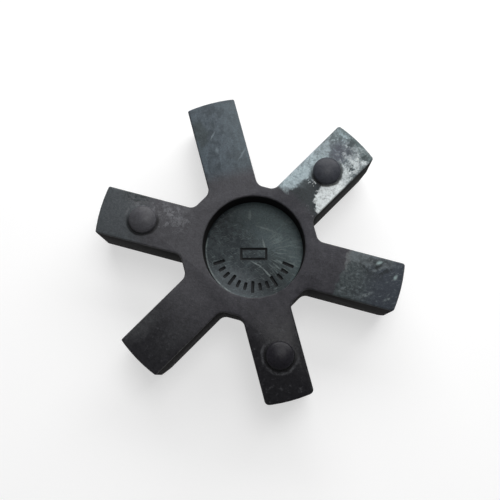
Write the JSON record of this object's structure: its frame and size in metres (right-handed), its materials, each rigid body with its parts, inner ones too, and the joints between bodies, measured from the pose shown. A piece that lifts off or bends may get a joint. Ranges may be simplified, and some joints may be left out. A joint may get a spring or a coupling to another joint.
{
  "type": "jaw coupling spider",
  "caption": "Rubber star with parallel-sided legs round a recessed hub, and domed spacer pips on alternate legs; it sits between the jaws of two coupling hubs and cushions the drive.",
  "frame": {"origin": "on the shaft axis, level with the tops of the lower pips that the spider stands on", "axes": "+Z along the shaft axis, out of the face with the off-centre recess; +X along leg 0, which has its pip below; legs are counted anticlockwise seen from +Z"},
  "size_m": [0.0952, 0.0884, 0.0252],
  "materials": {
    "black_rubber": "satin moulded nitrile rubber, dusty, with pale bloom and scuffs"
  },
  "bodies": {
    "root": {"spider": "black_rubber"}
  },
  "joints": []
}
